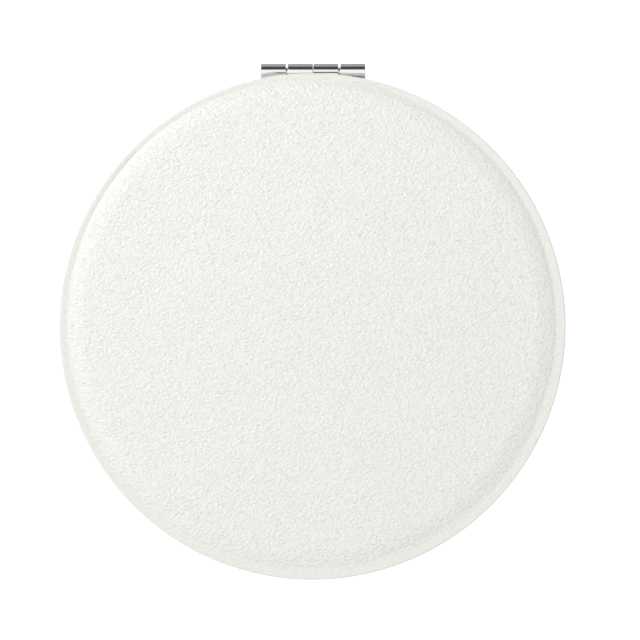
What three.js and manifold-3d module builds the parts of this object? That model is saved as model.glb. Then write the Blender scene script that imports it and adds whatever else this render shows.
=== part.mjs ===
// A round powder compact: two padded, leather-covered metal shells on a four-knuckle hinge. The lid
// holds a mirror in a bezel, and the base holds a pan of pressed powder with a puff lying on it.
//
// Millimetres, +Z up. The origin is on the case's axis, on the flat face that the closed compact lies
// on. The hinge is at +Y and the front at -Y. The lid repeats the base's layers upside down, so both
// halves are drawn as outlines of [radius, depth], with depth measured inwards from their outer face.
import * as THREE from "three";
import { mergeVertices } from "three/addons/utils/BufferGeometryUtils.js";
import Module from "manifold-3d";

const wasm = await Module();
wasm.setup();

// Overall sizes
const OUTER_RADIUS = 35; // of the covered side walls
const CASE_HEIGHT = 13; // from the base's underside to the lid's top, closed
const HINGE_WIDTH = 14.5; // over all four knuckles

// The padded cover of each half
const LEATHER = 0.8; // thickness of the covering material
const PANEL = 0.8; // board that the padding and the covering are stretched over
const PILLOW_RISE = 0.6; // how far the pillow stands out of the narrow border round it
const BORDER = 1.25; // mean width of that border
const SHOULDER = 2.4; // width over which the pillow rounds down to the border
const EDGE_ROUND = 0.3; // rounding between the border and the side wall
const LID_PILLOW_SHIFT = [-0.15, 0.45]; // the lid's pillow is wrapped off centre, towards the hinge

// Sheet-metal shells and hinge
const SHEET = 0.5; // drawn shells
const SHELL_CHAMFER = 0.4; // at the bottom of the drawn wall
const LEAF = 0.3; // hinge leaves
const BARREL_RADIUS = 1.2;
const PIN_RADIUS = 0.7;

// Mirror and bezel
const TAPE = 0.3;
const MIRROR = 1.2; // glass thickness
const MIRROR_BEVEL = 0.3;
const BEZEL_WIDTH = 4.2; // from the mirror's edge to the shell
const BEZEL_LIP = 0.9; // how far the bezel reaches over the mirror's edge
const BEZEL_SLOPE = 0.3;

// Powder, pan and puff
const TRAY_WIDTH = 5.4; // from the pan's well to the shell
const TRAY_CHAMFER = 0.3;
const ADHESIVE = 0.2;
const ADHESIVE_RADIUS = 20;
const PAN_SHEET = 0.3;
const PAN_SETBACK = 0.3; // pan's rim below the tray's face
const POWDER_SETBACK = 0.4; // powder below the pan's rim
const POWDER_CHAMFER = 0.3;
const PUFF_BORDER = 1.4; // bare powder round the puff
const PUFF_ROUND = 0.8;
const BACKING = 0.15;
const BACKING_BORDER = 1.2; // of the puff's top that the backing leaves bare
const RIBBON = 0.15;
const RIBBON_WIDTH = 12;
const RIBBON_MARGIN = 2.5; // from the ribbon's end to the backing's edge

// Magnetic catch
const MAGNET_RADIUS = 1.5;
const MAGNET_HEIGHT = 1.2;
const POCKET_SKIN = 0.5; // what hides each magnet

// Clearances
const FIT = 0.1; // between pieces that are fixed together
const RUN_GAP = 0.2; // between the hinge's barrel and what turns past it
const PARTING_GAP = 0.1; // between the two shells' rims, closed
const KNUCKLE_GAP = 0.3; // at the outer pairs of knuckles
const CENTRE_GAP = 0.1; // between the two middle knuckles
const OPEN_GAP = 0.9; // between the two side walls when the lid lies flat open
const FACE_SETBACK = 0.3; // of the tray and the bezel below the shells' rims
const PAN_GAP = 0.3; // round the pan in its well
const HEADROOM = 0.2; // over the puff's ribbon, under the mirror

const SEGMENTS = 60; // round every revolved piece, so that nested pieces have parallel faces
const BARREL_SEGMENTS = 20;

// Heights and depths
const middle = CASE_HEIGHT / 2;
const waistHalf = BARREL_RADIUS + RUN_GAP; // the barrel lies in the bare waist between the covers
const panelDepth = LEATHER + PILLOW_RISE + FIT;
const shellDepth = panelDepth + PANEL;
const cavityDepth = shellDepth + SHEET;
const rimDepth = middle - PARTING_GAP / 2;
const edgeDepth = middle - waistHalf;
const faceDepth = rimDepth - FACE_SETBACK;
const mirrorDepth = cavityDepth + TAPE;
const mirrorFace = mirrorDepth + MIRROR;
const panDepth = cavityDepth + ADHESIVE;
const panRim = faceDepth - PAN_SETBACK;
const powderFace = panRim - POWDER_SETBACK;
const pocketEnd = faceDepth - POCKET_SKIN;
const ribbonTop = CASE_HEIGHT - mirrorFace - HEADROOM;
const ribbonFoot = ribbonTop - RIBBON;
const puffTop = ribbonFoot - BACKING;
const puffFoot = powderFace + FIT;

// Radii
const hingeY = OUTER_RADIUS + OPEN_GAP / 2;
const strapOuter = hingeY - BARREL_RADIUS - RUN_GAP;
const strapInner = strapOuter - LEAF;
const shellRadius = strapInner - FIT;
const insertRadius = shellRadius - SHEET - FIT;
const pillowRadius = OUTER_RADIUS - BORDER;
const mirrorRadius = insertRadius - BEZEL_WIDTH;
const wellRadius = insertRadius - TRAY_WIDTH;
const panRadius = wellRadius - PAN_GAP;
const puffRadius = panRadius - PUFF_BORDER;
const backingRadius = puffRadius - BACKING_BORDER;
const magnetCircle = (mirrorRadius + FIT + insertRadius) / 2;

const inBase = (outline) => outline;
const inLid = (outline) => outline.map(([r, depth]) => [r, CASE_HEIGHT - depth]);

// Points of a parabola that leaves [r0, d0] along the radius and ends at [r1, d1].
function slope([r0, d0], [r1, d1], steps) {
  return Array.from({ length: steps + 1 }, (_, i) => {
    const t = i / steps;
    return [r0 + (r1 - r0) * t, d0 + (d1 - d0) * t * t];
  });
}

// Points of a quarter ellipse that leaves [r0, d0] along the radius and arrives at [r1, d1] along the depth.
function bend([r0, d0], [r1, d1], steps) {
  return Array.from({ length: steps + 1 }, (_, i) => {
    const t = ((i / steps) * Math.PI) / 2;
    return [r0 + (r1 - r0) * Math.sin(t), d0 + (d1 - d0) * (1 - Math.cos(t))];
  });
}

// A solid turned about Z from an outline of [radius, z] that starts and ends on the axis or runs round a ring.
function revolve(outline, segments = SEGMENTS) {
  const points = outline.map(([r, z]) => new THREE.Vector2(r, z));
  if (THREE.ShapeUtils.area(points) < 0) points.reverse();
  if (points[0].x > 0) points.push(points[0].clone());
  return new THREE.LatheGeometry(points, segments).rotateX(Math.PI / 2);
}

// Moves the pillow sideways, as a cover wrapped off centre does: what lies inside its edge and over the board.
function offCentre(geometry, [dx, dy]) {
  const at = geometry.attributes.position;
  const [reach, boardHeight] = [pillowRadius + FIT / 2, middle - panelDepth - FIT / 2];
  for (let i = 0; i < at.count; i++) {
    const [x, y] = [at.getX(i), at.getY(i)];
    if (Math.hypot(x, y) < reach && Math.abs(at.getZ(i) - middle) > boardHeight) at.setXY(i, x + dx, y + dy);
  }
  return geometry;
}

function toSolid(geometry) {
  const bare = geometry.clone().deleteAttribute("normal").deleteAttribute("uv");
  const merged = mergeVertices(bare, 1e-4);
  return new wasm.Manifold(
    new wasm.Mesh({
      numProp: 3,
      vertProperties: merged.attributes.position.array,
      triVerts: new Uint32Array(merged.index.array),
    }),
  );
}

function toGeometry(solid) {
  const { vertProperties, triVerts } = solid.getMesh();
  const geometry = new THREE.BufferGeometry();
  geometry.setAttribute("position", new THREE.BufferAttribute(vertProperties, 3));
  geometry.setIndex(new THREE.BufferAttribute(triVerts, 1));
  geometry.computeVertexNormals();
  return geometry;
}

// An upright round solid between two heights, on the line where the magnets of both halves meet.
function magnetColumn(radius, z0, z1) {
  const column = new THREE.CylinderGeometry(radius, radius, Math.abs(z1 - z0), BARREL_SEGMENTS);
  return column.rotateX(Math.PI / 2).translate(0, -magnetCircle, (z0 + z1) / 2);
}

// The covering: pillow, border, side wall and the edge turned in under the panel's skirt.
function leatherOutline() {
  const wallInner = OUTER_RADIUS - LEATHER;
  const flatRadius = pillowRadius - SHOULDER;
  const inner = slope([flatRadius, LEATHER], [pillowRadius - LEATHER / 2, PILLOW_RISE + LEATHER], 3);
  return [
    [0, 0],
    ...slope([flatRadius, 0], [pillowRadius, PILLOW_RISE], 4),
    ...bend([OUTER_RADIUS - EDGE_ROUND, PILLOW_RISE], [OUTER_RADIUS, PILLOW_RISE + EDGE_ROUND], 2),
    [OUTER_RADIUS, edgeDepth],
    [shellRadius + FIT, edgeDepth],
    [shellRadius + FIT, edgeDepth - LEATHER],
    [wallInner, edgeDepth - LEATHER],
    [wallInner, PILLOW_RISE + LEATHER],
    ...inner.reverse(),
    [0, LEATHER],
  ];
}

function foamOutline() {
  return [
    [0, LEATHER],
    [pillowRadius - SHOULDER - FIT, LEATHER],
    [pillowRadius - SHOULDER / 3, panelDepth],
    [0, panelDepth],
  ];
}

// The panel is a shallow cup: its skirt stands round the shell's wall and carries the side of the covering.
function panelOutline() {
  const skirtOuter = OUTER_RADIUS - LEATHER - FIT;
  const skirtEnd = edgeDepth - LEATHER - FIT;
  return [
    [0, panelDepth],
    [skirtOuter, panelDepth],
    [skirtOuter, skirtEnd],
    [shellRadius + FIT, skirtEnd],
    [shellRadius + FIT, shellDepth],
    [0, shellDepth],
  ];
}

function shellOutline() {
  return [
    [0, shellDepth],
    [shellRadius - SHELL_CHAMFER, shellDepth],
    [shellRadius, shellDepth + SHELL_CHAMFER],
    [shellRadius, rimDepth],
    [shellRadius - SHEET, rimDepth],
    [shellRadius - SHEET, cavityDepth],
    [0, cavityDepth],
  ];
}

function disc(radius, depth0, depth1) {
  return [
    [0, depth0],
    [radius, depth0],
    [radius, depth1],
    [0, depth1],
  ];
}

function mirrorOutline() {
  return [
    [0, mirrorDepth],
    [mirrorRadius, mirrorDepth],
    [mirrorRadius, mirrorFace - MIRROR_BEVEL],
    [mirrorRadius - MIRROR_BEVEL, mirrorFace],
    [0, mirrorFace],
  ];
}

function bezelOutline() {
  const seat = mirrorRadius + FIT;
  const lip = mirrorRadius - BEZEL_LIP;
  const lipDepth = mirrorFace + FIT;
  return [
    [seat, cavityDepth],
    [insertRadius, cavityDepth],
    [insertRadius, faceDepth],
    [seat + BEZEL_SLOPE, faceDepth],
    [lip, lipDepth + BEZEL_SLOPE],
    [lip, lipDepth],
    [seat, lipDepth],
  ];
}

function trayOutline() {
  return [
    [wellRadius, cavityDepth],
    [insertRadius, cavityDepth],
    [insertRadius, faceDepth],
    [wellRadius + TRAY_CHAMFER, faceDepth],
    [wellRadius, faceDepth - TRAY_CHAMFER],
  ];
}

function panOutline() {
  const bore = panRadius - PAN_SHEET;
  return [
    [0, panDepth],
    [panRadius, panDepth],
    [panRadius, panRim],
    [bore, panRim],
    [bore, panDepth + PAN_SHEET],
    [0, panDepth + PAN_SHEET],
  ];
}

function powderOutline() {
  const radius = panRadius - PAN_SHEET - FIT;
  return [
    [0, panDepth + PAN_SHEET],
    [radius, panDepth + PAN_SHEET],
    [radius, powderFace - POWDER_CHAMFER],
    [radius - POWDER_CHAMFER, powderFace],
    [0, powderFace],
  ];
}

function puffOutline() {
  const height = (puffTop - puffFoot) / 2;
  const waist = puffFoot + height;
  const top = bend([puffRadius - PUFF_ROUND, puffTop], [puffRadius, waist], 3);
  return [
    [0, puffFoot],
    ...bend([puffRadius - PUFF_ROUND, puffFoot], [puffRadius, waist], 3),
    ...top.reverse().slice(1),
    [0, puffTop],
  ];
}

// A ring that hides a magnet in a pocket open only at its back.
function pocketedRing(place, outline) {
  const [[, back], [, end]] = place([[0, cavityDepth - FIT], [0, pocketEnd]]);
  const pocket = toSolid(magnetColumn(MAGNET_RADIUS + FIT, back, end));
  return toGeometry(toSolid(revolve(place(outline))).subtract(pocket));
}

function magnet(place) {
  const [[, z0], [, z1]] = place([[0, pocketEnd - FIT - MAGNET_HEIGHT], [0, pocketEnd - FIT]]);
  return magnetColumn(MAGNET_RADIUS, z0, z1);
}

// Knuckles are numbered from -X. The leaf drawn here carries the first and the third.
const knuckleLength = (HINGE_WIDTH - 2 * KNUCKLE_GAP - CENTRE_GAP) / 4;
const knuckleStarts = [
  -HINGE_WIDTH / 2,
  -HINGE_WIDTH / 2 + knuckleLength + KNUCKLE_GAP,
  CENTRE_GAP / 2,
  CENTRE_GAP / 2 + knuckleLength + KNUCKLE_GAP,
];

// One rolled knuckle: a barrel round the pin's line.
function knuckle(x0) {
  const bore = PIN_RADIUS + FIT;
  const ring = [
    [bore, 0],
    [BARREL_RADIUS, 0],
    [BARREL_RADIUS, knuckleLength],
    [bore, knuckleLength],
  ];
  return revolve(ring, BARREL_SEGMENTS).rotateY(Math.PI / 2).translate(x0, hingeY, middle);
}

// The tab between the strap and the knuckle, tangent to the barrel's top.
function tab(x0) {
  const x1 = x0 + knuckleLength;
  const outline = new THREE.Shape();
  outline.moveTo(x0, hingeY);
  outline.absarc(0, 0, strapInner, Math.acos(x0 / strapInner), Math.acos(x1 / strapInner), true);
  outline.lineTo(x1, hingeY);
  outline.closePath();
  const plate = new THREE.ExtrudeGeometry(outline, { depth: LEAF, bevelEnabled: false, curveSegments: 4 });
  return plate.translate(0, 0, middle + BARREL_RADIUS - LEAF);
}

// The strap that is soldered round the shell, in the waist.
function strap() {
  const half = Math.asin(HINGE_WIDTH / 2 / strapOuter);
  const left = Math.PI / 2 + half;
  const right = Math.PI / 2 - half;
  const outline = new THREE.Shape();
  outline.absarc(0, 0, strapOuter, right, left, false);
  outline.absarc(0, 0, strapInner, left, right, true);
  outline.closePath();
  const foot = middle + PARTING_GAP / 2 + FIT;
  const top = middle + waistHalf - FIT;
  const band = new THREE.ExtrudeGeometry(outline, {
    depth: top - foot,
    bevelEnabled: false,
    curveSegments: 12,
  });
  return band.translate(0, 0, foot);
}

function hingeLeaf() {
  let leaf = toSolid(strap());
  for (const x0 of [knuckleStarts[0], knuckleStarts[2]]) {
    leaf = leaf.add(toSolid(tab(x0))).add(toSolid(knuckle(x0)));
  }
  return toGeometry(leaf);
}

// The base's leaf is the same pressing, turned end for end about the line through the hinge's middle.
function turned(geometry) {
  return geometry.clone().translate(0, 0, -middle).rotateY(Math.PI).translate(0, 0, middle);
}

function pin() {
  const rod = new THREE.CylinderGeometry(PIN_RADIUS, PIN_RADIUS, HINGE_WIDTH, BARREL_SEGMENTS);
  return rod.rotateZ(Math.PI / 2).translate(0, hingeY, middle);
}

function ribbon() {
  const length = 2 * (backingRadius - RIBBON_MARGIN);
  return new THREE.BoxGeometry(length, RIBBON_WIDTH, RIBBON).translate(0, 0, ribbonFoot + RIBBON / 2);
}

const FINISHES = {
  leather: { color: 0xeeede8, roughness: 0.6, metalness: 0 },
  foam: { color: 0xe9e4c9, roughness: 1, metalness: 0 },
  board: { color: 0x9a8f80, roughness: 0.9, metalness: 0 },
  chrome: { color: 0xd9dadb, roughness: 0.08, metalness: 1 },
  steel: { color: 0xb9babc, roughness: 0.25, metalness: 1 },
  plastic: { color: 0xd9d1c4, roughness: 0.4, metalness: 0 },
  glass: { color: 0xe8eef0, roughness: 0.02, metalness: 1 },
  tape: { color: 0xf4f4f0, roughness: 0.8, metalness: 0 },
  aluminium: { color: 0xc9cacc, roughness: 0.35, metalness: 1 },
  powder: { color: 0xc4a38a, roughness: 0.95, metalness: 0 },
  velour: { color: 0xccad9e, roughness: 1, metalness: 0 },
  satin: { color: 0xd4bfb5, roughness: 0.35, metalness: 0 },
  magnet: { color: 0x8d8f92, roughness: 0.3, metalness: 1 },
};

const compact = new THREE.Group();

function add(name, geometry, finish) {
  const mesh = new THREE.Mesh(geometry, new THREE.MeshStandardMaterial(FINISHES[finish]));
  mesh.name = name;
  compact.add(mesh);
}

for (const [half, place, shift] of [["base", inBase, [0, 0]], ["lid", inLid, LID_PILLOW_SHIFT]]) {
  add(`${half}_leather`, offCentre(revolve(place(leatherOutline())), shift), "leather");
  add(`${half}_foam`, offCentre(revolve(place(foamOutline())), shift), "foam");
  add(`${half}_panel`, revolve(place(panelOutline())), "board");
  add(`${half}_shell`, revolve(place(shellOutline())), "chrome");
  add(`${half}_magnet`, magnet(place), "magnet");
}

const lidLeaf = hingeLeaf();
add("lid_hinge_leaf", lidLeaf, "chrome");
add("base_hinge_leaf", turned(lidLeaf), "chrome");
add("hinge_pin", pin(), "steel");

add("mirror_tape", revolve(inLid(disc(mirrorRadius - FIT, cavityDepth, mirrorDepth))), "tape");
add("mirror", revolve(inLid(mirrorOutline())), "glass");
add("mirror_bezel", pocketedRing(inLid, bezelOutline()), "plastic");

add("tray_ring", pocketedRing(inBase, trayOutline()), "plastic");
add("pan_adhesive", revolve(disc(ADHESIVE_RADIUS, cavityDepth, panDepth)), "tape");
add("powder_pan", revolve(panOutline()), "aluminium");
add("pressed_powder", revolve(powderOutline()), "powder");
add("puff", revolve(puffOutline()), "velour");
add("puff_backing", revolve(disc(backingRadius, puffTop, ribbonFoot)), "satin");
add("puff_ribbon", ribbon(), "satin");

export default compact;
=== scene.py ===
"""A round powder compact: two padded, leather-covered chrome shells on a four-knuckle hinge, with a
mirror in the lid, and pressed powder and a puff in the base.

Lengths are metres. Every round piece is an outline of (radius, depth) turned about the case's axis.
Depth is measured inwards from the outer face of the half that the piece belongs to, so the lid's
pieces are the base's turned upside down."""

import math

import bmesh
import bpy
import numpy as np
from mathutils import Matrix, Vector

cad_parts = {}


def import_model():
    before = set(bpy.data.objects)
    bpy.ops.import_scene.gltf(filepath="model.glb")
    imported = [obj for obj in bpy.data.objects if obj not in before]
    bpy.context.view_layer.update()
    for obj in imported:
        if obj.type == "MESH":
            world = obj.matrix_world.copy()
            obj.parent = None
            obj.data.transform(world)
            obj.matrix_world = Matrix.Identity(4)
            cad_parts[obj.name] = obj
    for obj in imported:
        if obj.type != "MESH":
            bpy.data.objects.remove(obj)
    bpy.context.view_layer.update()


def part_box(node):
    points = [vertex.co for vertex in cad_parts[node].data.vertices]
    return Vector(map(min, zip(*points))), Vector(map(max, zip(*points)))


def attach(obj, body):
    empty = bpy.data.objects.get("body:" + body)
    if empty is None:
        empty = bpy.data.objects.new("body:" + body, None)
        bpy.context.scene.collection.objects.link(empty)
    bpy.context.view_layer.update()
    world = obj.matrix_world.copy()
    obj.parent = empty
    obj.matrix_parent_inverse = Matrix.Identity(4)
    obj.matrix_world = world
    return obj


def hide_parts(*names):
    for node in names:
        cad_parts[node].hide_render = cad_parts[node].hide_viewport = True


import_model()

MM = 0.001
CASE_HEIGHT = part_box("lid_leather")[1].z
MIDDLE = CASE_HEIGHT / 2

# Padded cover
LEATHER = 0.8 * MM  # thickness
PILLOW_RISE = 0.6 * MM  # how far the pillow stands out of the border round it
BORDER = 1.25 * MM
BORDER_LIFT = 0.15 * MM  # the border's outer edge above its inner edge
SHOULDER = 2.4 * MM  # width over which the pillow drops to the border
CREASE_WIDTH = 0.2 * MM  # the last of the drop, in the seam's crease
CREASE_DEPTH = 0.07 * MM
RIPPLE = 0.03 * MM  # deepest wave of the padding
RIPPLE_FADE = 3 * MM  # width over which the waves fade out
LID_PILLOW_SHIFT = (-0.15 * MM, 0.45 * MM)  # the lid's cover is wrapped a little off centre

# Shells, rings, mirror and pan
SHEET = 0.5 * MM
PAN_SHEET = 0.3 * MM
MIRROR_BEVEL_WIDTH = 4.2 * MM
MIRROR_BEVEL_DROP = 0.25 * MM
BEZEL_LIP = 0.9 * MM  # how far the bezel reaches over the mirror's edge
TRAY_WIDTH = 5.4 * MM
GROOVE_INSET = 1.6 * MM  # from the pan's well to the groove in the tray's face
GROOVE_HALF = 0.35 * MM
GROOVE_DEPTH = 0.22 * MM
FIT = 0.1 * MM  # between pieces that are fixed together

# Pattern pressed into the powder
PETALS = 12
ROSETTE = 0.72  # the rosette's share of the cake's radius
PETAL_DEPTH = 0.2 * MM
RING_INSET = 2.2 * MM
RING_WIDTH = 0.25 * MM
RING_DEPTH = 0.22 * MM

# Puff
PUFF_ROUND = 1.6 * MM  # width of its rounded edge
PUFF_SWELL = 0.15 * MM
PUFF_FALL = 0.45 * MM
PUFF_WAIST = 0.12 * MM  # half the height of the sewn waist
PUFF_PUCKERS = 40
PUCKER_DEPTH = 0.05 * MM
STRAP_PULL = 0.34 * MM
PULL_REACH = 2.8 * MM  # how far beside the strap its pull is felt
PULL_WIDTH = 2.5 * MM
GATHER = 3 * MM  # width of the puckers round the satin backing
FOLDS = 56
FOLD_HEIGHT = 0.09 * MM
RIBBON_WAVE = 11 * MM  # length of its slack waves
RIBBON_SLACK = 0.05 * MM

# Hinge
LEAF = 0.3 * MM  # sheet of the straps
ROLL_WALL = 0.35 * MM  # sheet of the rolls
ROLL_TURN = math.radians(285)
KNUCKLE_GAP = 0.3 * MM  # at the outer pairs of knuckles
CENTRE_GAP = 0.1 * MM  # between the two middle ones
STRAP_GAP = 0.15 * MM  # from the parting line to the strap
DIP = 0.24 * MM  # step down from the barrel's top to the strap
DIP_RADIUS = 35.9 * MM  # where the step starts, from the case's axis
DIP_LENGTH = 0.5 * MM
PIN_CLEARANCE = 0.05 * MM  # between the pin and the tab that runs over it

# Steps round a turned piece, and rows of points along an outline
TURNS = 240
FINE_TURNS = 360
MAGNET_TURNS = 64
PIN_TURNS = 48
CROWN_ROWS = 44
FINE_ROWS = 90
LOOP = 72  # points round the ribbon


def radius_of(node):
    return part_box(node)[1].x


def depths_of(node):
    """Nearest and furthest depth of a node under the outer face of its own half."""
    low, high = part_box(node)
    if (low.z + high.z) / 2 < MIDDLE:
        return low.z, high.z
    return CASE_HEIGHT - high.z, CASE_HEIGHT - low.z


# ---------------------------------------------------------------- shapes


def mesh_object(name, points, loops, sizes):
    """Object with the given corner points. Its faces are one run of corner numbers and each face's size."""
    mesh = bpy.data.meshes.new(name)
    mesh.vertices.add(len(points))
    mesh.vertices.foreach_set("co", np.ascontiguousarray(points, dtype=np.float32).ravel())
    mesh.loops.add(len(loops))
    mesh.loops.foreach_set("vertex_index", loops.astype(np.int32))
    mesh.polygons.add(len(sizes))
    starts = np.concatenate([[0], np.cumsum(sizes)[:-1]]).astype(np.int32)
    mesh.polygons.foreach_set("loop_start", starts)
    mesh.polygons.foreach_set("use_smooth", np.ones(len(sizes), dtype=bool))
    mesh.update(calc_edges=True)
    mesh.validate()
    made = bpy.data.objects.new(name, mesh)
    bpy.context.scene.collection.objects.link(made)
    return made


def skin(name, grid, ring):
    """Closed surface over a grid of points, which runs round along its second direction. A row that is
    one point is a pole. With ring, the last row joins the first."""
    rows, columns, _ = grid.shape
    ids = np.arange(rows * columns).reshape(rows, columns)
    poles = np.ptp(grid, axis=1).max(axis=1) < 1e-9
    ids[poles] = ids[poles][:, :1]
    near, far = (ids, np.roll(ids, -1, axis=0)) if ring else (ids[:-1], ids[1:])
    quads = np.stack([near, np.roll(near, -1, axis=1), np.roll(far, -1, axis=1), far], axis=-1).reshape(-1, 4)
    first_pole = quads[:, 0] == quads[:, 1]
    last_pole = quads[:, 2] == quads[:, 3]
    whole = quads[~first_pole & ~last_pole]
    triangles = np.concatenate([quads[first_pole][:, [0, 2, 3]], quads[last_pole][:, :3]])
    used, loops = np.unique(np.concatenate([whole.ravel(), triangles.ravel()]), return_inverse=True)
    sizes = np.concatenate([np.full(len(whole), 4), np.full(len(triangles), 3)])
    return mesh_object(name, grid.reshape(-1, 3)[used], loops, sizes)


def arc(start, end, centre, steps):
    """Points from start to end round a centre: the two arms turned evenly from one to the other."""
    a, b = start - centre, end - centre
    sweep = math.acos(np.clip(a @ b / np.linalg.norm(a) / np.linalg.norm(b), -1, 1))
    t = np.linspace(0, 1, steps + 1)[:, None]
    return centre + (np.sin((1 - t) * sweep) * a + np.sin(t * sweep) * b) / math.sin(sweep)


def rounded(corners, steps=6, hold=0.04 * MM):
    """Outline through corners (x, y, fillet). A corner with a fillet becomes an arc tangent to both its
    sides, with one more point just outside each end, which keeps the flats beside it flat."""
    points = np.array([corner[:2] for corner in corners], dtype=float)
    outline = []
    for i, (_, _, fillet) in enumerate(corners):
        corner = points[i]
        if not fillet:
            outline.append(corner[None])
            continue
        back, on = points[i - 1] - corner, points[(i + 1) % len(points)] - corner
        back, on = back / np.linalg.norm(back), on / np.linalg.norm(on)
        half = math.acos(np.clip(back @ on, -1, 1)) / 2
        reach = fillet / math.tan(half)
        centre = corner + (back + on) / np.linalg.norm(back + on) * fillet / math.sin(half)
        bend = arc(corner + back * reach, corner + on * reach, centre, steps)
        outline += [corner[None] + back * (reach + hold), bend, corner[None] + on * (reach + hold)]
    return np.concatenate(outline)


def slope(start, end, steps):
    """Curve that leaves start along the first direction and soon runs straight to end:
    (x0 + (x1 - x0) t, y0 + (y1 - y0) t^1.5) for t from 0 to 1."""
    t = np.linspace(0, 1, steps + 1)
    return np.stack([start[0] + (end[0] - start[0]) * t, start[1] + (end[1] - start[1]) * t**1.5], axis=1)


def quarter(start, end, steps):
    """Quarter ellipse that leaves start along the first direction and arrives at end along the second:
    (x0 + (x1 - x0) sin t, y0 + (y1 - y0)(1 - cos t)) for t from 0 to a right angle."""
    t = np.linspace(0, math.pi / 2, steps + 1)
    return np.stack(
        [start[0] + (end[0] - start[0]) * np.sin(t), start[1] + (end[1] - start[1]) * (1 - np.cos(t))], axis=1
    )


def turned(name, outline, in_lid=False, lift=None, turns=TURNS, carry=None, by=(0, 0)):
    """Surface of revolution: an outline point (r, d) at angle a goes to (r sin a, -r cos a, d). lift is a
    function of radius, depth and angle that gives what is added to the depth. carry is a function of
    radius and depth that gives how much of the sideways shift by each point takes. In the lid, the
    height is the case's height less the depth."""
    r, d = np.asarray(outline, dtype=float).T
    a = np.linspace(0, 2 * math.pi, turns, endpoint=False)
    depth = d[:, None] + (lift(r[:, None], d[:, None], a[None, :]) if lift else 0 * a[None, :])
    height = CASE_HEIGHT - depth if in_lid else depth
    share = (carry(r, d) if carry else 0 * r)[:, None]
    x = r[:, None] * np.sin(a) + share * by[0]
    y = -r[:, None] * np.cos(a) + share * by[1]
    grid = np.stack([x, y, height], axis=-1)
    area = np.sum(r * np.roll(height[:, 0], -1) - np.roll(r, -1) * height[:, 0])
    if area < 0:
        grid = grid[::-1]
    return skin(name, grid, ring=r.min() > 0)


def lofted(name, stations):
    """Solid through a row of outlines with like points, given as an array of stations by points by three.
    The first and the last outline close it."""
    rows, count, _ = stations.shape
    ids = np.arange(rows * count).reshape(rows, count)
    near, far = ids[:-1], ids[1:]
    sides = np.stack([near, np.roll(near, -1, axis=1), np.roll(far, -1, axis=1), far], axis=-1)
    loops = np.concatenate([ids[0][::-1], ids[-1], sides.ravel()])
    sizes = np.concatenate([[count, count], np.full(sides.size // 4, 4)])
    made = mesh_object(name, stations.reshape(-1, 3), loops, sizes)
    face_outwards(made)
    return made


def face_outwards(made):
    solid = bmesh.new()
    solid.from_mesh(made.data)
    bmesh.ops.recalc_face_normals(solid, faces=solid.faces)
    solid.to_mesh(made.data)
    solid.free()


def crisp(made, degrees=40):
    """Smooth shading that stops at edges sharper than the given angle."""
    made.data.set_sharp_from_angle(angle=math.radians(degrees))
    return made


def bevelled(made, width):
    bevel = made.modifiers.new("edges", "BEVEL")
    bevel.width = width
    bevel.segments = 3
    bevel.limit_method = "ANGLE"
    bevel.angle_limit = math.radians(40)
    bevel.harden_normals = True


def settle(made):
    """Applies an object's modifiers to its mesh."""
    graph = bpy.context.evaluated_depsgraph_get()
    mesh = bpy.data.meshes.new_from_object(made.evaluated_get(graph))
    made.modifiers.clear()
    made.data = mesh


def welded(first, others):
    """One solid from several that run into each other."""
    for other in others:
        join = first.modifiers.new("weld", "BOOLEAN")
        join.operation = "UNION"
        join.solver = "EXACT"
        join.object = other
        settle(first)
        bpy.data.objects.remove(other)
    return first


# ---------------------------------------------------------------- materials


def node(tree, kind, inputs=None, **settings):
    """A new shader node with its settings, and inputs given as values or as sockets to link."""
    made = tree.nodes.new(kind)
    for key, value in settings.items():
        setattr(made, key, value)
    for key, value in (inputs or {}).items():
        if isinstance(value, bpy.types.NodeSocket):
            tree.links.new(value, made.inputs[key])
        else:
            made.inputs[key].default_value = value
    return made


def finish(name, color, roughness, **sockets):
    """A material with one Principled shader. Returns the material, its node tree, its shader and the
    piece's coordinates."""
    material = bpy.data.materials.new(name)
    material.use_nodes = True
    tree = material.node_tree
    shader = tree.nodes["Principled BSDF"]
    shader.inputs["Base Color"].default_value = (*color, 1)
    shader.inputs["Roughness"].default_value = roughness
    for key, value in sockets.items():
        shader.inputs[key.replace("_", " ")].default_value = value
    return material, tree, shader, node(tree, "ShaderNodeTexCoord").outputs["Object"]


def noise(tree, at, size, detail=2.0, roughness=0.5):
    """Cloudy noise from 0 to 1 whose blotches are about size metres across."""
    inputs = {"Vector": at, "Scale": 1 / size, "Detail": detail, "Roughness": roughness}
    return node(tree, "ShaderNodeTexNoise", inputs).outputs["Fac"]


def ranged(tree, value, low, high, to_low, to_high, smooth=False):
    """value mapped from low..high to to_low..to_high, and held at the ends."""
    made = node(
        tree,
        "ShaderNodeMapRange",
        {"Value": value, "From Min": low, "From Max": high, "To Min": to_low, "To Max": to_high},
    )
    if smooth:
        made.interpolation_type = "SMOOTHSTEP"
    return made.outputs["Result"]


def maths(tree, operation, a, b):
    return node(tree, "ShaderNodeMath", {0: a, 1: b}, operation=operation).outputs[0]


def tinted(tree, shader, amount, low, high):
    """The shader's colour runs from low to high as amount goes from 0 to 1, and on past low below 0."""
    ends = {0: amount, "A": (*low, 1), "B": (*high, 1)}
    mix = node(tree, "ShaderNodeMix", ends, data_type="RGBA", clamp_factor=False)
    tree.links.new(mix.outputs["Result"], shader.inputs["Base Color"])


def bumped(tree, shader, height, depth, strength=1.0):
    made = node(tree, "ShaderNodeBump", {"Height": height, "Distance": depth, "Strength": strength})
    tree.links.new(made.outputs["Normal"], shader.inputs["Normal"])


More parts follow.
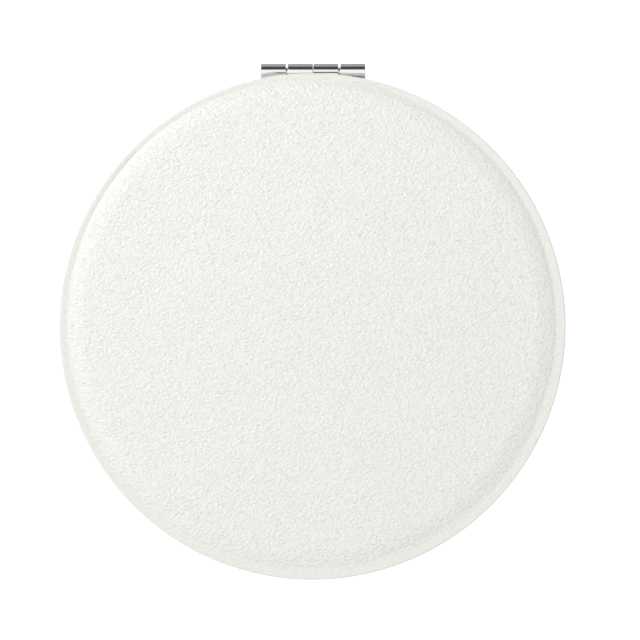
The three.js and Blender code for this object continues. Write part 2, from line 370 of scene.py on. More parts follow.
def from_axis(tree, at):
    """Distance from the case's axis."""
    flat = node(tree, "ShaderNodeVectorMath", {0: at, 1: (1, 1, 0)}, operation="MULTIPLY").outputs[0]
    return node(tree, "ShaderNodeVectorMath", {0: flat}, operation="LENGTH").outputs["Value"]


PEBBLE = 0.36 * MM
WRINKLE = 0.37 * MM
GRAIN_DEPTH = 0.2 * MM
GRAIN_DRIFT = 0.35 * MM  # how far the pebbles wander from their even places
GRAIN_LEFT = 0.35  # share of the grain that is left where the leather is pulled flat


def leather_finish():
    """Coated off-white leather: rounded pebbles, a little longer along one diagonal, and a wrinkle of about
    their size over them. The colour is lighter on the pebbles and darker between them, partly the grain's
    own tone and partly painted shade. The grain is pulled flat on the narrow border and the side walls,
    and there its colour is darkened as painted shade."""
    material, tree, shader, at = finish(
        "covering_leather", (0.772, 0.763, 0.732), 0.45, Specular_IOR_Level=0.6
    )
    drift = node(tree, "ShaderNodeTexNoise", {"Vector": at, "Scale": 900.0, "Detail": 1.0}).outputs["Color"]
    centred = node(tree, "ShaderNodeVectorMath", {0: drift, 1: (0.5, 0.5, 0.5)}, operation="SUBTRACT")
    drifted = {0: centred.outputs[0], "Scale": GRAIN_DRIFT}
    moved = node(tree, "ShaderNodeVectorMath", drifted, operation="SCALE").outputs[0]
    warped = node(tree, "ShaderNodeVectorMath", {0: at, 1: moved}, operation="ADD").outputs[0]
    laid = node(
        tree,
        "ShaderNodeMapping",
        {"Vector": warped, "Rotation": (0, 0, math.radians(-35)), "Scale": (0.8, 1.15, 1)},
    ).outputs[0]
    cells = node(
        tree,
        "ShaderNodeTexVoronoi",
        {"Vector": laid, "Scale": 1 / PEBBLE, "Smoothness": 0.35},
        feature="SMOOTH_F1",
    ).outputs["Distance"]
    pebbles = ranged(tree, cells, 0.05, 0.75, 1.0, 0.0)
    wrinkle = noise(tree, laid, WRINKLE, detail=1.0, roughness=0.45)
    height = maths(tree, "ADD", maths(tree, "MULTIPLY", pebbles, 0.3), wrinkle)
    edge = radius_of("base_leather") - BORDER
    relief = ranged(
        tree, from_axis(tree, at), edge - 0.6 * MM, edge + 0.1 * MM, 1.0, GRAIN_LEFT, smooth=True
    )
    bumped(tree, shader, maths(tree, "MULTIPLY", height, relief), GRAIN_DEPTH)
    # colour follows the pebbles: lighter on their tops and darker in the valleys between them, partly the
    # grain's own tone and partly painted shade
    shade = maths(tree, "ADD", pebbles, maths(tree, "MULTIPLY", noise(tree, at, 9 * MM), 0.25))
    # painted shade: the colour is darkened on the border and the side walls, where the grain is pulled flat
    darker = ranged(tree, relief, GRAIN_LEFT, 1.0, 0.55, 0.0)
    lighter = maths(tree, "SUBTRACT", ranged(tree, shade, 0.1, 1.1, 0.0, 1.0), darker)
    tinted(tree, shader, lighter, (0.73, 0.719, 0.684), (0.791, 0.783, 0.753))
    tree.links.new(ranged(tree, wrinkle, 0.3, 0.7, 0.38, 0.5), shader.inputs["Roughness"])
    return material


def chrome_finish(name="polished_chrome", color=(0.82, 0.825, 0.83), rough=0.05):
    """Polished plating with the faint waviness and hairlines of handled metal."""
    material, tree, shader, at = finish(name, color, rough, Metallic=1.0)
    stretched = node(tree, "ShaderNodeMapping", {"Vector": at, "Scale": (0.15, 1, 1)}).outputs[0]
    hairlines = noise(tree, stretched, 0.06 * MM, detail=2.0)
    tree.links.new(ranged(tree, hairlines, 0.35, 0.75, rough, rough + 0.07), shader.inputs["Roughness"])
    bumped(tree, shader, noise(tree, at, 1.6 * MM, detail=1.0), 0.006 * MM, 0.5)
    return material


def mirror_finish():
    """Silvered glass with faint smears."""
    material, tree, shader, at = finish("silvered_glass", (0.88, 0.9, 0.9), 0.015, Metallic=1.0)
    smears = noise(tree, at, 7 * MM, detail=3.0)
    tree.links.new(ranged(tree, smears, 0.45, 0.8, 0.01, 0.04), shader.inputs["Roughness"])
    return material


def plastic_finish():
    """Ivory moulded plastic with a very fine eggshell surface."""
    material, tree, shader, at = finish("ivory_plastic", (0.69, 0.64, 0.55), 0.3, Coat_Weight=0.15)
    tinted(tree, shader, noise(tree, at, 12 * MM), (0.67, 0.62, 0.53), (0.71, 0.66, 0.575))
    shell = noise(tree, at, 0.12 * MM)
    tree.links.new(ranged(tree, shell, 0.3, 0.7, 0.26, 0.38), shader.inputs["Roughness"])
    bumped(tree, shader, shell, 0.004 * MM, 0.6)
    return material


def spun_finish():
    """Pressed aluminium with the fine rings that forming leaves round its axis."""
    material, tree, shader, at = finish("pressed_aluminium", (0.74, 0.745, 0.75), 0.3, Metallic=1.0)
    along = {"W": maths(tree, "MULTIPLY", from_axis(tree, at), 9000.0), "Scale": 1.0}
    rings = node(tree, "ShaderNodeTexNoise", along, noise_dimensions="1D").outputs["Fac"]
    tree.links.new(ranged(tree, rings, 0.3, 0.7, 0.22, 0.42), shader.inputs["Roughness"])
    bumped(tree, shader, rings, 0.004 * MM, 0.7)
    return material


def powder_finish():
    """Pressed powder: chalky, with fine grains and slightly darker hollows."""
    material, tree, shader, at = finish("pressed_powder", (0.56, 0.36, 0.25), 0.95, Specular_IOR_Level=0.15)
    grains = noise(tree, at, 0.09 * MM, detail=3.0, roughness=0.7)
    clouds = noise(tree, at, 5 * MM, detail=3.0)
    shade = maths(tree, "ADD", maths(tree, "MULTIPLY", grains, 0.6), maths(tree, "MULTIPLY", clouds, 0.4))
    tinted(tree, shader, ranged(tree, shade, 0.35, 0.65, 0.0, 1.0), (0.48, 0.3, 0.2), (0.62, 0.42, 0.3))
    bumped(tree, shader, grains, 0.03 * MM)
    return material


def velour_finish():
    """Short-pile velour: a fine upright nap with soft lighter and darker strokes."""
    material, tree, shader, at = finish(
        "velour", (0.6, 0.42, 0.34), 0.95, Specular_IOR_Level=0.1, Sheen_Weight=0.35, Sheen_Roughness=0.4
    )
    nap = noise(tree, at, 0.11 * MM, detail=3.0, roughness=0.75)
    strokes = noise(tree, at, 6 * MM, detail=2.0)
    shade = maths(tree, "ADD", maths(tree, "MULTIPLY", nap, 0.5), maths(tree, "MULTIPLY", strokes, 0.5))
    tinted(tree, shader, ranged(tree, shade, 0.35, 0.65, 0.0, 1.0), (0.5, 0.33, 0.26), (0.68, 0.5, 0.41))
    bumped(tree, shader, nap, 0.12 * MM)
    return material


def satin_finish(name, low, high):
    """Satin between two close shades: fine floats that run along X, crossed by a faint weft."""
    material, tree, shader, at = finish(
        name, high, 0.36, Sheen_Weight=0.1, Anisotropic=0.5, Specular_IOR_Level=0.5
    )
    along = node(tree, "ShaderNodeMapping", {"Vector": at, "Scale": (0.12, 1, 1)}).outputs[0]
    floats = noise(tree, along, 0.05 * MM, detail=2.0)
    crossed = {"Vector": at, "Scale": 900.0, "Distortion": 0.4}
    weft = node(tree, "ShaderNodeTexWave", crossed, bands_direction="X").outputs["Fac"]
    weave = maths(tree, "ADD", floats, maths(tree, "MULTIPLY", weft, 0.15))
    tinted(tree, shader, ranged(tree, weave, 0.35, 0.8, 0.0, 1.0), low, high)
    tree.links.new(ranged(tree, floats, 0.3, 0.7, 0.3, 0.46), shader.inputs["Roughness"])
    bumped(tree, shader, weave, 0.02 * MM, 0.7)
    return material


def plain_finish(name, low, high, size, rough, depth):
    """Foam, board or tape: two close shades in blotches of the given size, and a bump to match."""
    material, tree, shader, at = finish(name, high, rough)
    grain = noise(tree, at, size, detail=4.0, roughness=0.65)
    tinted(tree, shader, ranged(tree, grain, 0.3, 0.7, 0.0, 1.0), low, high)
    bumped(tree, shader, grain, depth)
    return material


LEATHER_COVER = leather_finish()
CHROME = chrome_finish()
PIN_STEEL = chrome_finish("ground_steel", (0.7, 0.7, 0.71), 0.16)
MAGNET_PLATE = chrome_finish("nickel_plate", (0.55, 0.54, 0.52), 0.25)
SILVERED = mirror_finish()
IVORY = plastic_finish()
SPUN = spun_finish()
POWDER = powder_finish()
VELOUR = velour_finish()
SATIN = satin_finish("backing_satin", (0.6, 0.46, 0.4), (0.7, 0.57, 0.51))
RIBBON_SATIN = satin_finish("ribbon_satin", (0.48, 0.31, 0.26), (0.58, 0.41, 0.35))
FOAM = plain_finish("foam_padding", (0.78, 0.74, 0.6), (0.86, 0.83, 0.7), 0.4 * MM, 0.95, 0.1 * MM)
BOARD = plain_finish("grey_board", (0.5, 0.46, 0.4), (0.58, 0.54, 0.48), 0.6 * MM, 0.9, 0.03 * MM)
TAPE = plain_finish("tape", (0.84, 0.84, 0.82), (0.9, 0.9, 0.88), 2.0 * MM, 0.7, 0.01 * MM)


# ---------------------------------------------------------------- pieces


def fitted(made, material, body, slot, *nodes):
    """Gives a piece its material, and lets it stand for its nodes on their body. slot is not used."""
    made.data.materials.clear()
    made.data.materials.append(material)
    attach(made, body)
    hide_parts(*nodes)


def ripple(reach):
    """Shallow waves of the padding, up to RIPPLE deep, which fade out before the shoulder: a fixed sum of
    sine waves over the plane, each with its own direction, length and phase, levelled off by tanh."""
    draw = np.random.default_rng(7)
    count = 14
    heading = draw.uniform(0, 2 * math.pi, count)
    number = 2 * math.pi / (draw.uniform(4, 16, count) * MM)
    phase = draw.uniform(0, 2 * math.pi, count)

    def lift(r, d, a):
        x, y = r * np.sin(a), -r * np.cos(a)
        total = sum(
            np.sin(k * (x * math.cos(h) + y * math.sin(h)) + p) for h, k, p in zip(heading, number, phase)
        )
        outside = (d < PILLOW_RISE) & (r < reach)
        fade = np.clip((reach - r) / RIPPLE_FADE, 0, 1)
        return np.where(outside, RIPPLE / 2 * fade * (1 + np.tanh(total / 3)), 0)

    return lift


def cover(name, body, node_name):
    """Leather stretched over the padding: pillow, shoulder that drops to a creased seam, border that rises
    a little to its outer edge, side wall and turned-in edge. The lid's pillow sits off centre inside its
    border."""
    outer = radius_of(node_name)
    edge = depths_of(node_name)[1]
    pillow = outer - BORDER
    wall = outer - LEATHER
    turn_in = radius_of(f"{body}_shell") + FIT
    crease = (pillow - CREASE_WIDTH, PILLOW_RISE - CREASE_DEPTH)
    crown = [(r, 0.0) for r in np.linspace(0, pillow - SHOULDER, CROWN_ROWS)[:-1]]
    shoulder = slope((pillow - SHOULDER, 0), crease, 16)
    rim = rounded(
        [
            (*crease, 0),
            (pillow, PILLOW_RISE, 0.6 * MM),
            (outer, PILLOW_RISE - BORDER_LIFT, 0.2 * MM),
            (outer, edge, 0.28 * MM),
            (turn_in, edge, 0.1 * MM),
            (turn_in, edge - LEATHER, 0),
            (wall, edge - LEATHER, 0),
            (wall, PILLOW_RISE + LEATHER, 0),
        ],
        steps=8,
    )[1:]
    inside = pillow - LEATHER / 2
    under = slope((pillow - SHOULDER, LEATHER), (inside, PILLOW_RISE + LEATHER), 8)[::-1]
    outline = np.concatenate([crown, shoulder, rim, under, [(0, LEATHER)]])

    def carry(r, d):
        """The whole thickness over the board shifts, and less and less of it from the seam to the wall."""
        fade = 1 - np.clip((r - pillow) / (wall - pillow), 0, 1)
        return np.where(d < PILLOW_RISE + 1.05 * LEATHER, fade, 0)

    by = LID_PILLOW_SHIFT if body == "lid" else (0, 0)
    made = turned(name, outline, body == "lid", ripple(pillow - SHOULDER), FINE_TURNS, carry, by)
    fitted(crisp(made, 50), LEATHER_COVER, body, "covering", node_name)


def pad(name, body, node_name):
    """Foam disc with a skived edge, under the pillow."""
    near, far = depths_of(node_name)
    low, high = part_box(node_name)
    reach = (high.x - low.x) / 2
    by = LID_PILLOW_SHIFT if body == "lid" else (0, 0)
    bevel = reach - radius_of("base_leather") + BORDER + SHOULDER + FIT
    corners = [(0, near, 0), (reach - bevel, near, 0.5 * MM), (reach, far, 0), (0, far, 0)]
    made = turned(name, rounded(corners), body == "lid", carry=lambda r, d: 0 * r + 1, by=by)
    fitted(made, FOAM, body, "padding", node_name)


def panel(name, body, node_name):
    """Pressed board cup: plate and skirt."""
    near, far = depths_of(node_name)
    plate_far = depths_of(f"{body}_shell")[0]
    reach = radius_of(node_name)
    inner = radius_of(f"{body}_shell") + FIT
    corners = [
        (0, near, 0),
        (reach, near, 0.25 * MM),
        (reach, far, 0.15 * MM),
        (inner, far, 0.15 * MM),
        (inner, plate_far, 0),
        (0, plate_far, 0),
    ]
    fitted(crisp(turned(name, rounded(corners, 4), body == "lid")), BOARD, body, "panel_board", node_name)


def shell(name, body, node_name):
    """Drawn chrome shell: round bottom corner, straight wall, and a polished rim."""
    near, far = depths_of(node_name)
    outer = radius_of(node_name)
    corners = [
        (0, near, 0),
        (outer, near, 0.6 * MM),
        (outer, far, 0.18 * MM),
        (outer - SHEET, far, 0.18 * MM),
        (outer - SHEET, near + SHEET, 0.2 * MM),
        (0, near + SHEET, 0),
    ]
    fitted(crisp(turned(name, rounded(corners, 8), body == "lid")), CHROME, body, "shell_chrome", node_name)


def round_block(name, material, body, slot, node_name, fillet):
    """Disc with rounded edges, for the tapes and adhesive."""
    near, far = depths_of(node_name)
    reach = radius_of(node_name)
    corners = [(0, near, 0), (reach, near, fillet), (reach, far, fillet), (0, far, 0)]
    fitted(crisp(turned(name, rounded(corners, 4), body == "lid")), material, body, slot, node_name)


def magnet(name, body, node_name):
    """Small plated disc magnet, turned about its own line at the front of the case."""
    low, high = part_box(node_name)
    reach, middle_y = (high.x - low.x) / 2, (low.y + high.y) / 2
    corners = [(0, low.z, 0), (reach, low.z, 0.12 * MM), (reach, high.z, 0.12 * MM), (0, high.z, 0)]
    made = turned(name, rounded(corners, 4), turns=MAGNET_TURNS)
    move(made, (0, middle_y, 0))
    fitted(crisp(made), MAGNET_PLATE, body, "magnet_plate", node_name)


def move(made, by):
    """Shifts a piece's mesh, so that its object stays at the origin."""
    made.data.transform(Matrix.Translation(by))


def looking_glass():
    """Mirror with a flat face and a wide shallow bevel."""
    near, far = depths_of("mirror")
    reach = radius_of("mirror")
    corners = [
        (0, near, 0),
        (reach, near, 0.1 * MM),
        (reach, far - MIRROR_BEVEL_DROP, 0.08 * MM),
        (reach - MIRROR_BEVEL_WIDTH, far, 0),
        (0, far, 0),
    ]
    made = turned("mirror_glass", rounded(corners, 4), in_lid=True)
    fitted(crisp(made, 1.5), SILVERED, "lid", "mirror_glass", "mirror")


def bezel():
    """Moulded ring: flat face, sloped inner flank and a thin lip over the mirror's edge."""
    near, far = depths_of("mirror_bezel")
    outer = radius_of("mirror_bezel")
    seat = radius_of("mirror") + FIT
    lip_depth = depths_of("mirror")[1] + FIT
    lip = seat - FIT - BEZEL_LIP
    corners = [
        (seat, near, 0),
        (outer, near, 0.1 * MM),
        (outer, far, 0.35 * MM),
        (seat + 0.4 * MM, far, 0.35 * MM),
        (lip, lip_depth + 0.25 * MM, 0.1 * MM),
        (lip, lip_depth, 0.05 * MM),
        (seat, lip_depth, 0),
    ]
    made = turned("bezel_ring", rounded(corners, 8), in_lid=True)
    fitted(crisp(made), IVORY, "lid", "insert_plastic", "mirror_bezel")


def tray():
    """Moulded ring round the pan, with a fine groove turned into its face."""
    near, far = depths_of("tray_ring")
    outer = radius_of("tray_ring")
    well = outer - TRAY_WIDTH
    groove = well + GROOVE_INSET
    corners = [
        (well, near, 0),
        (outer, near, 0.1 * MM),
        (outer, far, 0.35 * MM),
        (groove + GROOVE_HALF, far, 0.08 * MM),
        (groove, far - GROOVE_DEPTH, 0.06 * MM),
        (groove - GROOVE_HALF, far, 0.08 * MM),
        (well, far, 0.3 * MM),
    ]
    made = turned("tray_insert", rounded(corners, 8))
    fitted(crisp(made), IVORY, "base", "insert_plastic", "tray_ring")


def pan():
    """Pressed aluminium pan with a round bottom corner and a smooth rim."""
    near, far = depths_of("powder_pan")
    outer = radius_of("powder_pan")
    corners = [
        (0, near, 0),
        (outer, near, 0.3 * MM),
        (outer, far, 0.13 * MM),
        (outer - PAN_SHEET, far, 0.13 * MM),
        (outer - PAN_SHEET, near + PAN_SHEET, 0.1 * MM),
        (0, near + PAN_SHEET, 0),
    ]
    fitted(crisp(turned("pan_cup", rounded(corners, 6))), SPUN, "base", "pan_aluminium", "powder_pan")


def powder_relief(reach):
    """Pressed pattern, cut into the cake: a fine ring near the edge, and a rosette. The rosette's depth is
    the size of the cosine of half as many turns as it has petals, times a half wave along the radius."""

    def lift(r, d, a):
        face = depths_of("pressed_powder")[1]
        ring = np.exp(-(((r - reach + RING_INSET) / RING_WIDTH) ** 2))
        petals = np.abs(np.cos(PETALS / 2 * a)) * np.clip(np.sin(math.pi * r / (reach * ROSETTE)), 0, 1)
        petals = np.where(r < reach * ROSETTE, petals, 0)
        cut = RING_DEPTH * ring + PETAL_DEPTH * petals
        return np.where(np.abs(d - face) < 1e-7, -cut, 0)

    return lift


def powder():
    """Cake of pressed powder, with its pattern on the face."""
    near, far = depths_of("pressed_powder")
    reach = radius_of("pressed_powder")
    wall = rounded([(0, near, 0), (reach, near, 0), (reach, far, 0.25 * MM), (0, far, 0)])[:-1]
    face = [(r, far) for r in np.linspace(reach - 0.4 * MM, 0, FINE_ROWS)]
    made = turned("powder_cake", np.concatenate([wall, face]), lift=powder_relief(reach))
    fitted(crisp(made), POWDER, "base", "powder", "pressed_powder")


def puff_top(x, y):
    """How far the puff's top stands off its plane: it is crowned, falls away towards its edge, and is drawn
    down under the strap. The formula is swell - fall (r / R)^4 - pull b, where b runs smoothly from 1 under
    the strap to 0 beside it."""
    reach = radius_of("puff")
    half_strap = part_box("puff_ribbon")[1].y
    s = np.clip((half_strap + PULL_REACH - np.abs(y)) / PULL_WIDTH, 0, 1)
    pulled = 3 * s**2 - 2 * s**3
    return PUFF_SWELL - PUFF_FALL * (np.hypot(x, y) / reach) ** 4 - STRAP_PULL * pulled


def puff_body():
    """Velour pad: a crowned cushion with a sewn waist, which puckers a little along its edge."""
    low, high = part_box("puff")
    near, far, reach = low.z, high.z, high.x
    waist = (near + far) / 2
    flat = reach - PUFF_ROUND
    lower = quarter((flat, near), (reach, waist - PUFF_WAIST), 12)
    upper = quarter((flat, far), (reach, waist + PUFF_WAIST), 12)[::-1]
    seam = [(reach - 0.22 * MM, waist)]
    low_rows = [(r, near) for r in np.linspace(0, flat, 24)[:-1]]
    top_rows = [(r, far) for r in np.linspace(flat, 0, FINE_ROWS)[1:]]
    outline = np.concatenate([low_rows, lower, seam, upper, top_rows])

    def lift(r, d, a):
        share = np.clip((d - waist) / (far - waist), 0, 1)
        pucker = PUCKER_DEPTH * np.sin(PUFF_PUCKERS * a) * np.clip((r - flat) / PUFF_ROUND, 0, 1)
        edge = np.where(d < waist, -pucker, pucker) * (np.abs(d - waist) > 0.15 * MM)
        return share * puff_top(r * np.sin(a), -r * np.cos(a)) + edge

    made = turned("puff_pad", outline, lift=lift, turns=FINE_TURNS)
    fitted(made, VELOUR, "base", "velour", "puff")


def backing():
    """Satin face sewn to the puff: a thin disc that follows its top, gathered along the edge into small
    uneven puckers."""
    low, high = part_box("puff_backing")
    reach, near, far = high.x, low.z, high.z
    corners = [(0, near, 0), (reach, near, 0.05 * MM), (reach, far, 0.05 * MM)]
    rim = rounded([*corners, (0, far, 0)], 4)[:-1]
    under = [(r, near) for r in np.linspace(0, reach - 0.3 * MM, 70)[:-1]]
    rows = [(r, far) for r in np.linspace(reach - 0.3 * MM, 0, FINE_ROWS)]

    def lift(r, d, a):
        gather = np.clip((r - reach + GATHER) / GATHER, 0, 1)
        fold = 0.5 + 0.5 * np.sin(FOLDS * a + 1.3 * np.sin(5 * a))
        folds = np.where(d > near + 0.06 * MM, FOLD_HEIGHT * gather * fold, 0)
        return puff_top(r * np.sin(a), -r * np.cos(a)) + folds

    outline = np.concatenate([under, rim[1:], rows])
    made = turned("satin_backing", outline, lift=lift, turns=FINE_TURNS)
    fitted(made, SATIN, "base", "satin", "puff_backing")


def strap_ribbon():
    """Ribbon across the puff, following its top: a row of flat loops of points along it, with its two woven
    edges thicker and a slight slack wave between them."""
    low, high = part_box("puff_ribbon")
    length, width = high.x - low.x, high.y - low.y
    x = np.linspace(low.x, high.x, FINE_ROWS)[:, None]
    around = np.linspace(0, 2 * math.pi, LOOP, endpoint=False)[None, :]
    side = np.sign(np.cos(around)) * np.abs(np.cos(around)) ** 0.12
    face = np.sign(np.sin(around)) * np.abs(np.sin(around)) ** 0.5
    edge = 1 + 0.45 * np.exp(-(((np.abs(side) - 0.9) / 0.06) ** 2))
    wave = 0.5 + 0.5 * np.sin(2 * math.pi * x / RIBBON_WAVE) * np.cos(math.pi * side)
    thick = (high.z - low.z) * 0.36
    y = np.broadcast_to(-side * width / 2, (FINE_ROWS, LOOP))
    z = low.z + thick + RIBBON_SLACK * wave + thick * face * edge + puff_top(x, y)
    grid = np.stack([np.broadcast_to(x, y.shape), y, z], axis=-1)
    centre = grid.mean(axis=1, keepdims=True)
    ends = [np.broadcast_to(centre[i], (1, LOOP, 3)) for i in (0, -1)]
    made = skin("ribbon_strap", np.concatenate([ends[0], grid, ends[1]]), ring=False)
    face_outwards(made)
    fitted(crisp(made, 60), RIBBON_SATIN, "base", "satin", "puff_ribbon")


def knuckle(name, x0, length, turn, strap_radius):
    """Tab and roll in one strip: from the strap the tab climbs a small step that follows the round of the
    case, runs level, and rolls round the pin. The step is DIP deep, by the smooth curve 3t^2 - 2t^3, and
    the underside goes down only so far that it stays PIN_CLEARANCE off the pin."""
    low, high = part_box("hinge_pin")
    axis_y, axis_z = (low.y + high.y) / 2, (low.z + high.z) / 2
    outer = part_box("lid_hinge_leaf")[1].y - axis_y
    bore = outer - ROLL_WALL
    under_dip = bore - (high.z - low.z) / 2 - PIN_CLEARANCE
    t = np.linspace(0, ROLL_TURN, 44)
    level = np.linspace(1, 0, 14)[:-1]
    x = np.linspace(x0, x0 + length, 9)[:, None]
    tab_start = np.sqrt(strap_radius**2 - x**2) + 0.1 * MM - axis_y
    flat_v = np.zeros_like(level)
    u = np.concatenate([0 * level, outer * np.sin(t), bore * np.sin(t[::-1]), 0 * level])[None, :]
    share = np.concatenate([level, 0 * t, 0 * t, level[::-1]])[None, :]
    v = np.concatenate([flat_v + outer, outer * np.cos(t), bore * np.cos(t[::-1]), flat_v + bore])[None, :]
    y = axis_y + u + share * tab_start
    s = np.clip((DIP_RADIUS - np.hypot(x, y)) / DIP_LENGTH, 0, 1) * (share > 0)
    depth = np.where(v > bore, DIP, under_dip)
    z = axis_z + turn * (v - depth * (3 * s**2 - 2 * s**3))
    return lofted(name, np.stack([np.broadcast_to(x, y.shape), y, z], axis=-1))


def hinge_leaf(name, body, starts, length, turn):
    """Strap round the shell, and two knuckles. turn is 1 for the lid's leaf and -1 for the base's, which is
    the same pressing turned end for end."""
    low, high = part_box(f"{body}_hinge_leaf")
    half_width = high.x if turn < 0 else -low.x
    inner = math.hypot(low.y, half_width)
    parts = [knuckle(f"{name}_roll", x0, length, turn, inner) for x0 in starts]
    sweep = math.asin(half_width / inner)
    bend = np.linspace(-sweep, sweep, 48)
    reach = np.concatenate([np.full(48, inner), np.full(48, inner + LEAF)])
    around = np.concatenate([bend, bend[::-1]])
    x, y = reach * np.sin(around), reach * np.cos(around)
    ends = [np.stack([x, y, 0 * x + z], axis=-1) for z in strap_heights(body)]
    made = welded(lofted(f"{name}_strap", np.stack(ends)), parts)
    made.name = made.data.name = name
    bevelled(made, 0.09 * MM)
    fitted(crisp(made, 35), CHROME, body, "hinge_chrome", f"{body}_hinge_leaf")


def strap_heights(body):
    """Lower and upper edge of a leaf's strap, which stops short of the parting line."""
    low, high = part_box(f"{body}_hinge_leaf")
    return (MIDDLE + STRAP_GAP, high.z) if body == "lid" else (low.z, MIDDLE - STRAP_GAP)


def hinge():
    """Two identical leaves with two knuckles each, interleaved on one pin."""
    half = -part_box("lid_hinge_leaf")[0].x
    length = (2 * half - 2 * KNUCKLE_GAP - CENTRE_GAP) / 4
    first, third = -half, CENTRE_GAP / 2
    hinge_leaf("lid_leaf", "lid", [first, third], length, 1)
    hinge_leaf("base_leaf", "base", [-third - length, -first - length], length, -1)
    low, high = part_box("hinge_pin")
    reach = (high.z - low.z) / 2
    rod = rounded([(0, low.x, 0), (reach, low.x, 0.2 * MM), (reach, high.x, 0.2 * MM), (0, high.x, 0)], 6)
    made = turned("pin_rod", rod, turns=PIN_TURNS)
    middle_y, middle_z = (low.y + high.y) / 2, (low.z + high.z) / 2
    made.data.transform(Matrix.Translation((0, middle_y, middle_z)) @ Matrix.Rotation(math.pi / 2, 4, "Y"))
    fitted(crisp(made), PIN_STEEL, "base", "pin_steel", "hinge_pin")


def build():
    for body in ("base", "lid"):
        cover(f"{body}_cover", body, f"{body}_leather")
        pad(f"{body}_padding", body, f"{body}_foam")
        panel(f"{body}_board", body, f"{body}_panel")
        shell(f"{body}_case", body, f"{body}_shell")
        magnet(f"{body}_catch_magnet", body, f"{body}_magnet")
    hinge()
    round_block("mirror_pad", TAPE, "lid", "adhesive", "mirror_tape", 0.05 * MM)
    looking_glass()
    bezel()
    tray()
    round_block("pan_tape", TAPE, "base", "adhesive", "pan_adhesive", 0.04 * MM)
    pan()
    powder()
    puff_body()
    backing()
    strap_ribbon()


# ---------------------------------------------------------------- studio

STUDIO_LIGHT = 1.03
WALL_LIGHT, CEILING_LIGHT = 0.92, 1.08
FLAG_LIGHT = 0.08  # share of the studio's light that the flag gives back
FLOOR_GLOW = 0.6
FLOOR_ON_CASE = 0.85
FLOOR_IN_METAL = 0.4
KEY_PLACE, KEY_AIM = (-0.22, 0.19, 0.25), (0, 0, 0.01)
KEY_SIZE = 0.1
KEY_POWER = 0.62  # watts


def world():
    """White studio: a bright ceiling, slightly dimmer walls, and one dark flag behind the hinge."""
    scene_world = bpy.data.worlds.new("studio")
    scene_world.use_nodes = True
    tree = scene_world.node_tree
    toward = node(tree, "ShaderNodeTexCoord").outputs["Generated"]
    parts = node(tree, "ShaderNodeSeparateXYZ", {0: toward})
    ceiling = ranged(tree, parts.outputs["Z"], 0.82, 0.92, 0.0, 1.0, smooth=True)
    base = ranged(tree, ceiling, 0.0, 1.0, WALL_LIGHT, CEILING_LIGHT)
    flag_up = ranged(tree, parts.outputs["Z"], 0.0, 0.12, 0.0, 1.0, smooth=True)
    flag_top = ranged(tree, parts.outputs["Z"], 0.76, 0.88, 1.0, 0.0, smooth=True)
    flag_back = ranged(tree, parts.outputs["Y"], 0.15, 0.4, 0.0, 1.0, smooth=True)
    across = node(tree, "ShaderNodeMath", {0: parts.outputs["X"]}, operation="ABSOLUTE").outputs[0]
    flag_side = ranged(tree, across, 0.25, 0.45, 1.0, 0.0, smooth=True)
    band = maths(tree, "MULTIPLY", flag_up, flag_top)
    sector = maths(tree, "MULTIPLY", flag_back, flag_side)
    flag = maths(tree, "MULTIPLY", band, sector)
    dimmed = maths(tree, "MULTIPLY", base, ranged(tree, flag, 0.0, 1.0, 1.0, FLAG_LIGHT))
    background = tree.nodes["Background"]
    tree.links.new(dimmed, background.inputs["Color"])
    background.inputs["Strength"].default_value = STUDIO_LIGHT
    bpy.context.scene.world = scene_world


def key_light():
    """Square soft light over the back left of the case, turned to face it."""
    light = bpy.data.lights.new("key", "AREA")
    light.size = KEY_SIZE
    light.energy = KEY_POWER
    made = bpy.data.objects.new("key", light)
    made.location = KEY_PLACE
    made.rotation_euler = (Vector(KEY_AIM) - Vector(KEY_PLACE)).to_track_quat("-Z", "Y").to_euler()
    bpy.context.scene.collection.objects.link(made)


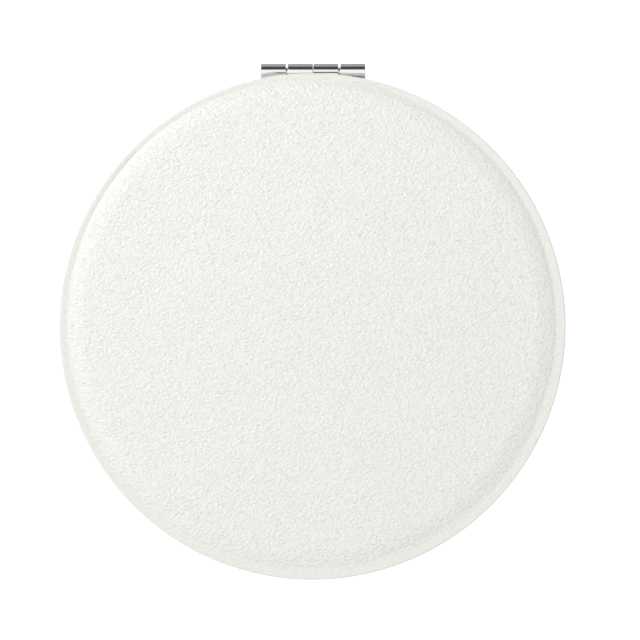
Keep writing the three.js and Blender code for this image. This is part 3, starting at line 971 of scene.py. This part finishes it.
def floor():
    """Pale floor that glows a little, so that it stays white round the case. What it throws back on the case
    is dimmer, and dimmer still in polished metal. Seen from below, it is clear."""
    size, drop = 4.0, 0.1 * MM
    corners = [(-size, -size, -drop), (size, -size, -drop), (size, size, -drop), (-size, size, -drop)]
    made = mesh_object("floor", np.array(corners), np.arange(4), np.array([4]))
    material, tree, shader, _ = finish("pale_floor", (0.8, 0.8, 0.8), 0.9, Specular_IOR_Level=0.0)
    shader.inputs["Emission Color"].default_value = (1, 1, 1, 1)
    shader.inputs["Emission Strength"].default_value = FLOOR_GLOW
    ray = node(tree, "ShaderNodeLightPath")
    level = ranged(tree, ray.outputs["Is Glossy Ray"], 0.0, 1.0, FLOOR_ON_CASE, FLOOR_IN_METAL)
    dim = node(tree, "ShaderNodeEmission", {"Strength": level}).outputs[0]
    lit = {0: ray.outputs["Is Camera Ray"], 1: dim, 2: shader.outputs[0]}
    above = node(tree, "ShaderNodeMixShader", lit).outputs[0]
    clear = node(tree, "ShaderNodeBsdfTransparent").outputs[0]
    under = node(tree, "ShaderNodeNewGeometry").outputs["Backfacing"]
    both = node(tree, "ShaderNodeMixShader", {0: under, 1: above, 2: clear}).outputs[0]
    tree.links.new(both, tree.nodes["Material Output"].inputs["Surface"])
    made.data.materials.append(material)


CAMERA_DISTANCE = 1.0
FRAME_WIDTH = 88.4 * MM  # what the frame spans at the lid's border
SENSOR = 36  # millimetres
LENS_SHIFT = (0.01225, 0.00975)  # shares of the frame's width
TILT = math.radians(2.0)


def camera():
    """Long lens almost straight above, tipped a little towards the front right corner, hinge at the top."""
    data = bpy.data.cameras.new("camera")
    data.sensor_width = SENSOR
    data.lens = SENSOR * CAMERA_DISTANCE / FRAME_WIDTH
    data.clip_start, data.clip_end = 0.05, 20
    data.shift_x, data.shift_y = LENS_SHIFT
    made = bpy.data.objects.new("camera", data)
    aim = Vector((0, 0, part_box("lid_leather")[1].z - PILLOW_RISE))
    side = math.sin(TILT) / math.sqrt(2)
    back = Vector((side, -side, math.cos(TILT)))
    made.location = aim + back * CAMERA_DISTANCE
    right = Vector((0, 1, 0)).cross(back).normalized()
    made.rotation_mode = "QUATERNION"
    made.rotation_quaternion = Matrix((right, back.cross(right), back)).transposed().to_quaternion()
    bpy.context.scene.collection.objects.link(made)
    bpy.context.scene.camera = made


build()
world()
floor()
key_light()
camera()
bpy.context.scene.view_settings.view_transform = "Standard"
